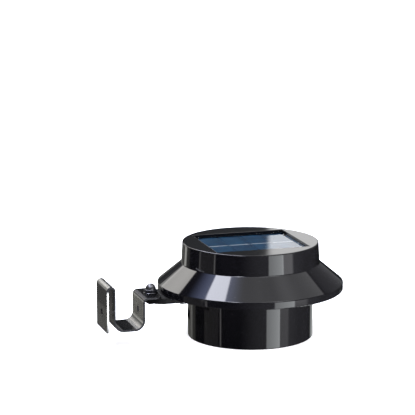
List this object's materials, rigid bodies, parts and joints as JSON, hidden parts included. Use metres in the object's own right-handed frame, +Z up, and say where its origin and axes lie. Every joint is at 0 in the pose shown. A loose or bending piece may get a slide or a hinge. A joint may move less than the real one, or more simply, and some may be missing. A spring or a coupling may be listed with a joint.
{
  "type": "solar lamp",
  "caption": "Round black solar lamp with a panel in its crown, a conical skirt, a frosted lens below and a bent steel hook that clips over a gutter edge.",
  "frame": {"origin": "centre of the standing rim, on the lamp's axis, on the surface that it stands on", "axes": "+Z up along the lamp's axis, -X towards the hook, Y across the strip's width"},
  "size_m": [0.1457, 0.11, 0.0566],
  "materials": {
    "shell_black": "injection moulded, high gloss black",
    "housing_black": "injection moulded, high gloss black",
    "clear_cast": "clear cast resin, glossy",
    "cell_blue": "polycrystalline silicon, dark blue",
    "ribbon_tin": "tinned copper ribbon",
    "panel_board_black": "black laminate",
    "seal_rubber": "soft black rubber",
    "lens_frosted": "frosted clear plastic",
    "tray_white": "white moulded plastic",
    "diode_clear": "clear epoxy",
    "board_green": "green solder mask on glass laminate",
    "chip_black": "black moulded package",
    "ferrite": "dark ferrite drum",
    "capacitor_sleeve": "dark sleeve on an aluminium can",
    "screw_zinc": "zinc plated",
    "switch_grey": "moulded switch body",
    "slider_black": "fine textured black",
    "cradle_black": "moulded, matt",
    "battery_sleeve": "plain shrink sleeve on a metal can",
    "contact_nickel": "nickel plated spring steel",
    "lead_black": "flexible insulation",
    "lead_red": "flexible insulation",
    "arm_black": "injection moulded, glossy black",
    "hook_dark_plate": "dark plated spring steel, glossy",
    "bolt_plate": "plated steel",
    "nut_bright": "bright nickel plated"
  },
  "bodies": {
    "lamp": {"top_shell": "shell_black", "lower_housing": "housing_black", "panel_cover": "clear_cast", "solar_cells": "cell_blue", "cell_ribbons": "ribbon_tin", "panel_board": "panel_board_black", "shell_seal": "seal_rubber", "lens_seal": "seal_rubber", "reflector": "tray_white", "light_diodes": "diode_clear", "circuit_board": "board_green", "driver_chip": "chip_black", "inductor": "ferrite", "capacitor": "capacitor_sleeve", "board_screws": "screw_zinc", "housing_screws": "screw_zinc", "arm_screws": "screw_zinc", "switch_body": "switch_grey", "battery_cradle": "cradle_black", "battery": "battery_sleeve", "positive_contact": "contact_nickel", "spring_contact": "contact_nickel", "panel_lead_black": "lead_black", "battery_lead_black": "lead_black", "panel_lead_red": "lead_red", "battery_lead_red": "lead_red", "lamp_arm": "arm_black", "clamp_bolt": "bolt_plate", "washer": "bolt_plate", "cap_nut": "nut_bright"},
    "hook": {"hook_bracket": "hook_dark_plate"},
    "slider": {"switch_slider": "slider_black"},
    "lens_cover": {"lens": "lens_frosted"}
  },
  "joints": [
    {"name": "hook_swivel", "type": "hinge", "parent": "lamp", "child": "hook", "pos_m": [-0.0612, 0, 0.0282], "axis": [0, 0, 1], "range_deg": [-15, 15]},
    {"name": "switch_slide", "type": "slide", "parent": "lamp", "child": "slider", "axis": [-0.1564, -0.9877, 0], "range_m": [0, 0.003]},
    {"name": "lens_twist", "type": "hinge", "parent": "lamp", "child": "lens_cover", "pos_m": [0, 0, 0.0008], "axis": [0, 0, 1], "range_deg": [0, 22]}
  ]
}
